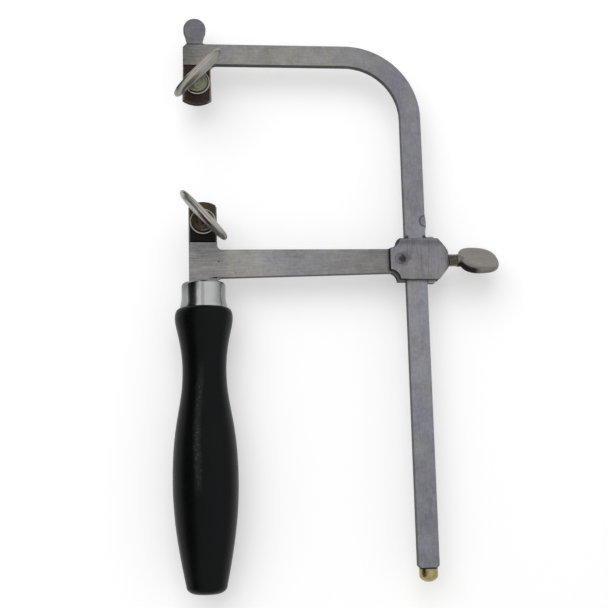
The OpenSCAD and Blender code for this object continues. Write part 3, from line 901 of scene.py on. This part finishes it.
@coating("Blued plate")
def plate_blued(tree):
    """Blued plates: brown black, browner at their free ends and black at their shoulders."""
    y = tree.saw_place()[1]
    large, small = clouds(tree, 4.0, 7.0)
    _, wall, edge = walls(tree)
    grain = brush_marks(tree, 0.3, 4.0)
    # How brown the plates are: the lower one lies under y 25 and the upper one over y 45
    upper = y.rise(25.0, 45.0)
    brown = tree.between(upper, y.chart((3, 0.0), (8, 0.1), (12, 0.5), (16, 1.0)),
                         y.chart((56, 1.0), (61, 1.0), (67, 0.7), (74, 0.6)))
    olive = tree.mix(upper, (0.075, 0.060, 0.041, 1), shade("blued_steel"))
    warm = tree.mix(brown * large.spread(1.0, 0.6), (0.016, 0.0145, 0.0135, 1), olive)
    tone = small.spread(0.75, 1.25) + grain.spread(-0.15, 0.15)
    # Worn edges show bare steel, painted in the shaded wall steel's colour
    wear_and_shade = edge * small.rise(0.4, 0.8, 0.15)
    colour = tree.mix(wear_and_shade, tree.scale(warm, tone), shade("shaded_wall_steel"))
    # Painted shade: the plates' walls are painted black
    return {"Base Color": tree.mix(wall, colour, BLACK),
            "Metallic": 1.0 - wall,
            "Roughness": small.spread(0.38, 0.52),
            "Normal": tree.bump(grain, 0.25),
            "Specular IOR Level": PAINTED_SHADE_SHINE}


def nickel(name, colour, seed, rough=0.26, grime=0.2):
    """Dull nickel plate with fine handling marks and a warm tarnish.

    The function below it, if any, gives the painted light and shade on the plate: how light it
    is painted and the share of painted black shade on it."""

    def made_by(painted_shade_at=None):
        @coating(name)
        def plated(tree):
            large, small = clouds(tree, 8.0, seed)
            fine_large, fine_small = clouds(tree, 1.6, seed + 1)
            tone = large.spread(0.94, 1.04) + fine_small.spread(-0.025, 0.025)
            plate = tree.mix(small.rise(0.5, 0.95, grime), tree.scale(shade(colour), tone),
                             (0.16, 0.15, 0.125, 1))
            wear_and_shade = {"Base Color": plate, "Metallic": 1.0}
            if painted_shade_at is not None:
                # Painted black shade is kept from mirroring, not at a flat angle either
                light, black = painted_shade_at(tree)
                wear_and_shade = {"Base Color": tree.mix(black, tree.scale(plate, light), BLACK),
                        "Metallic": 1.0 - black, "Specular IOR Level": PAINTED_SHADE_SHINE}
            return {**wear_and_shade, "Roughness": small.spread(rough, rough + 0.08),
                    "Normal": tree.bump(fine_large, 0.06)}

        return plated

    return made_by


@nickel("Screw nickel", "nickel", 4.0)
def screw_nickel(tree):
    """The upper clamp screw's plate: a painted highlight at the crest and painted shade towards the root."""
    z = tree.saw_place()[2]
    reach, across = tree.wing_place(UPPER_SCREW, sizes().upper_turn)
    light = z.chart((7, 0.52), (11, 0.6), (15, 0.64), (18, 0.72), (19.6, 0.95), (20.6, 1.05))
    # Painted shade in the hollow of the face, towards the wing's lower left end
    hollow = across.rise(-0.35, 0.15, 0.92) * across.span(0.8, 1.05, 1.0, 0.35)
    hollow = hollow * reach.chart((-11.5, 0.0), (-10.8, 1.0), (-6.0, 0.9), (-3.0, 0.0))
    # with more painted shade near the root
    return light, hollow.most(z.fall(5.2, 9.5, 0.4))


@nickel("Lower screw nickel", "nickel", 4.0)
def lower_nickel(tree):
    """The lower clamp screw's plate, with painted shade in the hollow under the rim along each face."""
    z = tree.saw_place()[2]
    reach = tree.wing_place(LOWER_SCREW, sizes().lower_turn)[0]
    ragged = z + clouds(tree, 2.0, 21.0)[0].spread(-0.3, 0.3)
    off = abs(ragged - reach.chart((-11.5, 14.4), (-9.0, 16.4), (-5.0, 16.9), (0.0, 16.2), (7.5, 14.0)))
    ends = reach.chart((-10.5, 0.0), (-9.1, 0.85), (-6.5, 1.0), (4.0, 1.0), (8.5, 0.0))
    # Painted shade towards the root and a painted highlight at the crest
    light = z.chart((7, 0.78), (12, 0.84), (15, 0.85), (18, 0.95), (20.6, 1.05))
    return light, off.fall(2.2, 3.1) * ends


@nickel("Side screw nickel", "nickel", 4.0)
def side_nickel(tree):
    """The side screw's plate, painted darker as painted shade, with painted black shade on its edge's wall
    by the root.
    """
    x, y, _ = tree.saw_place()
    turned_by = sizes().side_turn
    front = (0, math.sin(turned_by), math.cos(turned_by))
    facing = tree.value("VectorMath", "Value", {0: tree.value("TexCoord", "Normal"), 1: front},
                        operation="DOT_PRODUCT")
    # There the surface turns away from both faces
    wall = abs(facing).fall(0.75, 0.97) * y.fall(YOKE_Y - 1.8, YOKE_Y - 0.3)
    # Painted shade: the plate is painted about half as light, darker still towards the slider, and black on
    # the wall by the root
    return 0.53 - x.fall(97.0, 104.0, 0.08), wall * x.fall(105.2, 108.2, 0.96)


washer_nickel = nickel("Washer nickel", "nickel", 8.0, 0.2)()
upper_hub_nickel = nickel("Upper hub tarnish with painted bright reflection", "upper_hub", 5.0, 0.36, 0.7)()
lower_hub_nickel = nickel("Lower hub tarnish with painted dark reflection", "lower_hub", 5.0, 0.36, 0.7)()


@coating("Screw thread")
def thread_steel(tree):
    """Threads: dull nickel with brown grime in the grooves."""
    large, small = clouds(tree, 2.0, 6.0)
    colour = tree.mix(small.spread(0.3, 0.8), (0.34, 0.32, 0.28, 1), (0.17, 0.155, 0.12, 1))
    return {"Base Color": colour, "Metallic": 1.0, "Roughness": large.spread(0.38, 0.55)}


@coating("Ferrule plate")
def ferrule_plate(tree):
    """Bright plate with fine rings left by the lathe and a few scuffs."""
    x, y, _ = tree.saw_place()
    large, small = clouds(tree, 6.0, 11.0)
    rings = brush_marks(tree, 0.02, 9.0)
    tone = large.spread(0.95, 1.03) + rings.spread(-0.03, 0.03)
    # Painted reflection: its flanks and one band beside its crown are painted darker
    light = x.chart((-9.5, 0.5), (-6.7, 0.6), (-5.9, 1.0), (-1.5, 1.0), (-0.9, 0.72), (-0.2, 0.72),
                    (0.4, 1.0), (6.2, 1.0), (6.9, 0.72), (9.5, 0.66))
    # and painted shade darkens the upper part of its left half
    shaded = y.rise(-18.5, -14.0, 0.4) * x.fall(-2.6, -1.0)
    return {"Base Color": tree.scale(shade("ferrule"), tone * light * (1.0 - shaded)),
            "Metallic": 1.0,
            "Roughness": small.spread(0.18, 0.26),
            "Normal": tree.bump(rings, 0.12)}


@coating("Handle lacquer")
def handle_lacquer(tree):
    """Black lacquer on turned wood, with dust and a painted sheen: a broken highlight down the side of the
    swell.
    """
    x, y, _ = tree.saw_place()
    grain = brush_marks(tree, 0.05, 1.6, UPRIGHT)
    flecks = pits(tree, 0.85, 0.3, 0.6)
    specks = pits(tree, 2.2, 0.12, 0.3)
    large, small = clouds(tree, 9.0, 13.0)
    # Painted sheen: the right half is painted a little paler and bluer
    base = tree.mix(x.rise(-2.0, 7.0, 0.5), tree.scale(shade("lacquer"), large.spread(0.7, 1.3)),
                    (0.007, 0.009, 0.0095, 1))
    # Painted highlight: a band of sheen, broken by flecks, down the left of the swell
    streak_x = small.spread(-0.5, 0.5) - y.chart((-95, 2.9), (-75, 3.3), (-65, 3.0), (-48, 1.5))
    streak = abs(x - streak_x).fall(0.2, 1.9) * flecks.span(0.0, 1.0, 0.3, 1.0)
    streak = streak * y.chart((-94, 0.0), (-88, 0.8), (-75, 1.0), (-52, 0.7), (-43, 0.0))
    # Dust specks and the painted sheen share one pale grey
    return {"Base Color": tree.mix((specks * 0.2).most(streak * 0.55), base, (0.075, 0.077, 0.075, 1)),
            "Metallic": 0.0,
            "Roughness": small.spread(0.26, 0.4),
            "Normal": tree.bump(grain * 0.6 + small * 0.6, 0.3, 0.05),
            "Specular IOR Level": 0.09}


@coating("Stop brass")
def stop_brass(tree):
    """Turned brass: tarnished, stained brown at one side, and painted dark with shade where it meets the
    spine.
    """
    y = tree.saw_place()[1]
    rings = brush_marks(tree, 0.03, 7.0)
    large, small = clouds(tree, 2.5, 15.0)
    brass = tree.scale(shade("brass"), rings.spread(0.85, 1.1))
    brass = tree.mix(small.rise(0.3, 0.9, 0.75), brass, (0.17, 0.13, 0.065, 1))
    stain = tree.away(SPINE_MID_X - 2.1, SPINE_END_Y - 1.6, 3.0).fall(0.4, 1.9, 0.5)
    brass = tree.mix(stain, brass, (0.085, 0.037, 0.014, 1))
    # Painted shade in the gap where it meets the spine
    gap_shade = y.rise(SPINE_END_Y - 0.4, SPINE_END_Y - 0.1, 0.85)
    return {"Base Color": tree.mix(gap_shade, brass, BLACK),
            "Metallic": 1.0,
            "Roughness": large.spread(0.3, 0.45),
            "Normal": tree.bump(rings, 0.25)}


# Pieces


def cutter(name, centre, radii, steps):
    """A rounded lump for shaping the bar."""
    clear_selection()
    bpy.ops.mesh.primitive_uv_sphere_add(segments=steps, ring_count=steps // 2, radius=1.0,
                                         location=centre)
    lump = name_piece(bpy.context.object, name)
    lump.scale = Vector(radii) * MM
    set_down(lump)
    return lump


class SAW_OT_bow(bpy.types.Operator):
    """Bow: top arm, corner and spine in one flat bar, with the finger knob and the struck mark"""
    bl_idname = "fret_saw.bow"
    bl_label = "Bow"

    def execute(self, context):
        piece = milled_copy("bow", "bow_bar")
        # The mark is a shallow dish struck in the front face, and the steel beside it swells
        radius = sizes().mark_r / MM
        ball = (radius ** 2 + STAKE_DEPTH ** 2) / (2 * STAKE_DEPTH)
        x, y, z = STAKE
        swelling = cutter("swelling", place(*SWELLING), SWELLING_RADII, 48)
        struck = cutter("struck", place(x, y, z - STAKE_DEPTH + ball), (ball, ball, ball), 96)
        for lump, operation in ((swelling, "UNION"), (struck, "DIFFERENCE")):
            apply_modifier(piece, "BOOLEAN", object=lump, operation=operation, solver="EXACT")
            bpy.data.objects.remove(lump)

        def spared(at):
            return (math.dist(at.xy, KNOB) < KNOB_SPARED or math.dist(at, STAKE) < STAKE_SPARED
                    or abs(at.y - SWELLING[1]) < SWELLING_SPARED and at.x > SWELLING_SPARED_X)

        round_edges(piece, sizes().bar_edge, spared)
        dress(piece, "bow", "bow_steel", "bow", bow_steel())
        return {"FINISHED"}


class SAW_OT_end_stop(bpy.types.Operator):
    """End stop: a small turned brass button on the end of the spine"""
    bl_idname = "fret_saw.end_stop"
    bl_label = "End stop"

    def execute(self, context):
        nose = curve((3.55, 2.9), (3.45, 3.7), (2.2, 4.8), (0.95, 5.0), 12)
        profile = [(0, -5.9), (1.1, -5.9), (1.22, -5.7), (1.22, 0.0), (3.25, 0.0), (3.45, 0.06),
                   (3.55, 0.25), (3.55, 1.4), (3.55, 2.9), *nose, (0, 5.0)]
        piece = turned("spine_stop", profile, place(SPINE_MID_X, SPINE_END_Y), TO_TAIL, 72)
        smooth(piece, 35)
        dress(piece, "bow", "stop_brass", "end_stop", stop_brass())
        return {"FINISHED"}


class SAW_OT_lower_arm(bpy.types.Operator):
    """Lower arm: the block over the handle, the jaw, the arm and its tongue"""
    bl_idname = "fret_saw.lower_arm"
    bl_label = "Lower arm"

    def execute(self, context):
        piece = milled_copy("lower_arm", "arm_bar")
        round_edges(piece, sizes().bar_edge, lambda at: at.x > TONGUE_X)
        dress(piece, "grip", "arm_steel", "lower_arm", arm_steel())
        return {"FINISHED"}


class SAW_OT_slider(bpy.types.Operator):
    """Slider: the fork that is riveted to the arm and runs on the spine"""
    bl_idname = "fret_saw.slider"
    bl_label = "Slider"

    def execute(self, context):
        piece = milled_copy("slider_yoke", "slider_fork")
        round_edges(piece, sizes().slider_edge,
                    lambda at: math.dist(at.xy, (RIVET_X, YOKE_Y)) < RIVET_SPARED)
        dress(piece, "grip", "slider_steel", "slider_yoke", slider_steel())
        return {"FINISHED"}


class SAW_OT_rivet(bpy.types.Operator):
    """Rivet: a peened pin through the fork and the arm's tongue"""
    bl_idname = "fret_saw.rivet"
    bl_label = "Rivet"

    def execute(self, context):
        half = YOKE_FRONT
        dome = [(0.7, half - 0.06), (1.2, half - 0.01), (1.7, half), (1.95, half - 0.01),
                (2.03, half - 0.05)]
        profile = [(0, half - 0.12), *dome, *[(r, -z) for r, z in reversed(dome)], (0, 0.12 - half)]
        piece = turned("slider_rivet", profile, place(RIVET_X, YOKE_Y), HEAD_UP, 48)
        smooth(piece, 40)
        dress(piece, "grip", "rivet_steel", "arm_rivet", rivet_steel())
        return {"FINISHED"}


class SAW_OT_shoe(bpy.types.Operator):
    """Pressure shoe: the slip of steel that the side screw presses on the spine"""
    bl_idname = "fret_saw.shoe"
    bl_label = "Pressure shoe"

    def execute(self, context):
        piece = milled_copy("pressure_shoe", "shoe_slip")
        round_edges(piece, sizes().bar_edge)
        dress(piece, "shoe", "shoe_steel", "pressure_shoe", shoe_steel())
        return {"FINISHED"}


class SAW_OT_clamp_plates(bpy.types.Operator):
    """Clamp plates: the two blued plates that hold a blade's ends"""
    bl_idname = "fret_saw.clamp_plates"
    bl_label = "Clamp plates"

    def execute(self, context):
        for side in ("upper", "lower"):
            node = side + "_clamp_plate"
            piece = milled_copy(node, side + "_plate")
            round_edges(piece, sizes().plate_edge)
            dress(piece, side + "_clamp", "plate_blued", node, plate_blued())
        return {"FINISHED"}


class SAW_OT_washers(bpy.types.Operator):
    """Washers: two dished washers, each with a round bead at its rim"""
    bl_idname = "fret_saw.washers"
    bl_label = "Washers"

    def execute(self, context):
        bead = arc(4.64, 1.14, 0.36, -10, 170, 12)
        profile = [(2.55, 0.0), (4.85, 0.0), (5.0, 0.15), *bead, (4.22, 1.3), (4.05, 1.26), (3.9, 1.1),
                   (2.75, 1.02), (2.55, 0.95), (2.55, 0.0)]
        first = turned("upper_rim_washer", profile, CENTRE, HEAD_UP, 72)
        smooth(first, 40)
        second = copy_of(first, "lower_rim_washer")
        for piece, (x, y), side in ((first, UPPER_SCREW, "upper"), (second, LOWER_SCREW, "lower")):
            piece.data.transform(Matrix.Translation(place(x, y, PLATE_TOP)))
            dress(piece, side + "_clamp", "washer_nickel", side + "_washer", washer_nickel())
        return {"FINISHED"}


class SAW_OT_clamp_screws(bpy.types.Operator):
    """Clamp screws: two wing screws, modelled once and turned as the saw shows them"""
    bl_idname = "fret_saw.clamp_screws"
    bl_label = "Clamp screws"

    def execute(self, context):
        s = sizes()
        first = clamp_screw("upper_wing_screw")
        second = copy_of(first, "lower_wing_screw")
        second.data.materials[0] = lower_nickel()
        second.data.materials[1] = lower_hub_nickel()
        for piece, (x, y), turned_by, side in ((first, UPPER_SCREW, s.upper_turn, "upper"),
                                               (second, LOWER_SCREW, s.lower_turn, "lower")):
            piece.data.transform(Matrix.Translation(place(x, y, WASHER_TOP))
                                 @ Matrix.Rotation(turned_by, 4, "Z"))
            dress(piece, side + "_screw", "screw_nickel", side + "_screw")
        return {"FINISHED"}


class SAW_OT_side_screw(bpy.types.Operator):
    """Side screw: the smaller wing screw that locks the slider on the spine"""
    bl_idname = "fret_saw.side_screw"
    bl_label = "Side screw"

    def execute(self, context):
        piece = side_screw("side_wing_screw")
        piece.data.transform(Matrix.Translation(place(SIDE_HEAD_X, YOKE_Y))
                             @ Matrix.Rotation(math.radians(90), 4, "Y")
                             @ Matrix.Rotation(sizes().side_turn, 4, "Z"))
        dress(piece, "side_screw", "screw_nickel", "side_screw")
        return {"FINISHED"}


class SAW_OT_ferrule(bpy.types.Operator):
    """Ferrule: a bright cap round the handle's top, flared at its foot"""
    bl_idname = "fret_saw.ferrule"
    bl_label = "Ferrule"

    def execute(self, context):
        top, round_r, radius, flare_r = BLOCK_DROP, 1.2, 8.45, 9.1
        bore, lining = SPIGOT_R + LOOSE_FIT, top + 0.82
        crown = arc(radius - round_r, top + round_r, round_r, -90, 0, 10)
        foot = easing((radius, 18.3), (flare_r, FERRULE_DROP), 0.5, 0.3, 10)
        profile = [(TANG_HOLE_R, top + 0.3), (TANG_HOLE_R, top), *crown, (radius, 16.0), (radius, 18.3),
                   *foot[:-1], (flare_r, FERRULE_DROP - 0.1), (flare_r - 0.1, FERRULE_DROP),
                   (bore, FERRULE_DROP), (bore, lining), (TANG_HOLE_R, lining), (TANG_HOLE_R, top + 0.3)]
        piece = turned("handle_ferrule", profile, place(0, 0), TO_TAIL, 128)
        smooth(piece, 30)
        dress(piece, "grip", "ferrule_nickel", "ferrule", ferrule_plate())
        return {"FINISHED"}


class SAW_OT_handle(bpy.types.Operator):
    """Handle: one turned grip with a shoulder, a waist and a swell"""
    bl_idname = "fret_saw.handle"
    bl_label = "Handle"

    def execute(self, context):
        start, shoulder, waist = (9.1, FERRULE_DROP), (11.1, 26.8), (8.35, 47.0)
        bulge, tail, end = (12.35, 88.0), (7.6, 126.6), (3.2, HANDLE_DROP)
        run = tail[1] - bulge[1]
        pull = 0.34 * run
        profile = [(0, SPIGOT_DROP), (TANG_HOLE_R, SPIGOT_DROP), (SPIGOT_R, SPIGOT_DROP),
                   (SPIGOT_R, FERRULE_DROP), start,
                   *curve(start, (10.5, FERRULE_DROP), (11.1, 24.46), shoulder, 12),
                   *easing(shoulder, waist, 0.17, 0.54, 20), *easing(waist, bulge, 0.33, 0.55, 26),
                   *curve(bulge, (bulge[0], bulge[1] + 0.36 * run), (tail[0] + 0.21 * pull, tail[1] - pull),
                          tail, 26),
                   *curve(tail, (tail[0], 128.2), (5.62, HANDLE_DROP), end, 10), (0, HANDLE_DROP)]
        piece = turned("handle_grip", profile, place(0, 0), TO_TAIL, 128)
        smooth(piece, 40)
        dress(piece, "grip", "handle_black", "handle", handle_lacquer())
        return {"FINISHED"}


# Stage


def key_light():
    """A large, soft light from over the saw's upper left."""
    where = KEY_TARGET + KEY_FROM.normalized() * KEY_DISTANCE
    clear_selection()
    bpy.ops.object.light_add(type="AREA", location=where)
    lamp = bpy.context.object
    lamp.name = "key_light"
    lamp.rotation_euler = (KEY_TARGET - where).to_track_quat("-Z", "Y").to_euler()
    lamp.data.shape = "RECTANGLE"
    lamp.data.size, lamp.data.size_y = 1.2, 0.9
    lamp.data.energy = 6.0
    lamp.visible_glossy = False


@coating("Black card")
def card_black(tree):
    return {"Base Color": (0.012, 0.011, 0.010, 1), "Roughness": 1.0, "Specular IOR Level": 0.0}


def dark_card():
    """A black card at the left that only reflections see, to shape the polished metal."""
    clear_selection()
    bpy.ops.mesh.primitive_plane_add(size=1, location=(-0.55, 0.35, 0.32))
    card = name_piece(bpy.context.object, "card_left")
    card.scale = (1.5, 0.64, 1)
    card.rotation_euler = Vector((1, 0, 0)).to_track_quat("Z", "Y").to_euler()
    set_down(card)
    coat(card, card_black())
    for rays in ("camera", "diffuse", "shadow", "transmission"):
        setattr(card, "visible_" + rays, False)


def seen_directly(tree):
    """1 for rays from the camera, from polished metal and through glass, and 0 for light."""
    path = tree.add("LightPath").outputs
    camera, glossy, through = (Value(tree, path["Is " + kind + " Ray"])
                               for kind in ("Camera", "Glossy", "Transmission"))
    return camera.most(glossy).most(through)


@coating("Studio floor")
def paper(tree):
    """White paper with a faint tooth, and a glow that only the camera, metal and glass see."""
    tooth = tree.value("TexNoise", "Fac", {"Vector": tree.value("TexCoord", "Object"),
                                           "Scale": 900.0, "Detail": 2.0})
    white = linear(bpy.context.scene.fret_saw_stage.floor)
    return {"Base Color": tree.scale(white, tooth.spread(0.99, 1.01)),
            "Roughness": 0.9,
            "Specular IOR Level": 0.1,
            "Emission Color": (1, 1, 1, 1),
            "Emission Strength": seen_directly(tree) * 0.3}


class SAW_OT_stage(bpy.types.Operator):
    """Stage: the floor, the even studio light, the dark card and the camera"""
    bl_idname = "fret_saw.stage"
    bl_label = "Stage"

    def execute(self, context):
        scene = context.scene
        scene.view_settings.view_transform = "Standard"
        self.make_floor(scene.fret_saw_stage)
        self.make_world(scene, scene.fret_saw_stage)
        key_light()
        dark_card()
        self.make_camera(scene, scene.fret_saw_stage)
        return {"FINISHED"}

    def make_floor(self, look):
        clear_selection()
        bpy.ops.mesh.primitive_plane_add(size=look.floor_size, location=(0, 0, 0))
        floor = name_piece(bpy.context.object, "studio_floor")
        coat(floor, paper())

    def make_world(self, scene, look):
        world = scene.world or bpy.data.worlds.new("Studio")
        scene.world = world
        world.use_nodes = True
        world.node_tree.nodes.clear()
        tree = Tree(world.node_tree)
        # Polished metal sees a sky that is brightest overhead
        height = tree.values("SeparateXYZ", {0: tree.value("TexCoord", "Generated")})[2]
        sky = height.span(0.0, 0.8, look.horizon, 1.0).most(tree.value("LightPath", "Is Camera Ray"))
        strength = tree.between(seen_directly(tree), look.ambient, sky)
        light = tree.value("Background", 0, {"Color": (1, 1, 1, 1), "Strength": strength})
        tree.add("OutputWorld", {0: light})

    def make_camera(self, scene, look):
        turns = Matrix.Identity(4)
        for degrees, axis in CAMERA_TURNS:
            turns = turns @ Matrix.Rotation(math.radians(degrees), 4, axis)
        data = bpy.data.cameras.new("Saw camera")
        data.lens = look.lens
        data.sensor_width = SENSOR
        data.clip_start, data.clip_end = 0.01, 20
        camera = bpy.data.objects.new("Saw camera", data)
        scene.collection.objects.link(camera)
        back = turns.to_3x3() @ Vector((0, 0, look.distance))
        camera.matrix_world = Matrix.Translation(place(*LOOK_AT) + back) @ turns
        scene.camera = camera


PIECES = (SAW_OT_bow, SAW_OT_end_stop, SAW_OT_lower_arm, SAW_OT_slider, SAW_OT_rivet, SAW_OT_shoe,
          SAW_OT_clamp_plates, SAW_OT_washers, SAW_OT_clamp_screws, SAW_OT_side_screw,
          SAW_OT_ferrule, SAW_OT_handle, SAW_OT_stage)


class SAW_PT_panel(bpy.types.Panel):
    """Lists the saw's settings and its pieces"""
    bl_idname = "SAW_PT_panel"
    bl_label = "Fret Saw"
    bl_space_type = "VIEW_3D"
    bl_region_type = "UI"
    bl_category = "Fret Saw"

    def draw(self, context):
        layout = self.layout
        for name in SETTINGS:
            group = getattr(context.scene, name)
            box = layout.box()
            for key in group.bl_rna.properties.keys():
                if key not in ("rna_type", "name"):
                    box.prop(group, key)
        for piece in PIECES:
            layout.operator(piece.bl_idname)


SETTINGS = {"fret_saw_sizes": FretSawSizes, "fret_saw_colours": FretSawColours,
            "fret_saw_stage": FretSawStage}
CLASSES = (*SETTINGS.values(), *PIECES, SAW_PT_panel)


def register():
    for cls in CLASSES:
        bpy.utils.register_class(cls)
    for name, group in SETTINGS.items():
        setattr(bpy.types.Scene, name, bpy.props.PointerProperty(type=group))


def unregister():
    for name in SETTINGS:
        delattr(bpy.types.Scene, name)
    for cls in reversed(CLASSES):
        bpy.utils.unregister_class(cls)


def main():
    register()
    for piece in PIECES:
        getattr(bpy.ops.fret_saw, piece.bl_idname.split(".")[1])()


if __name__ == "__main__":
    main()
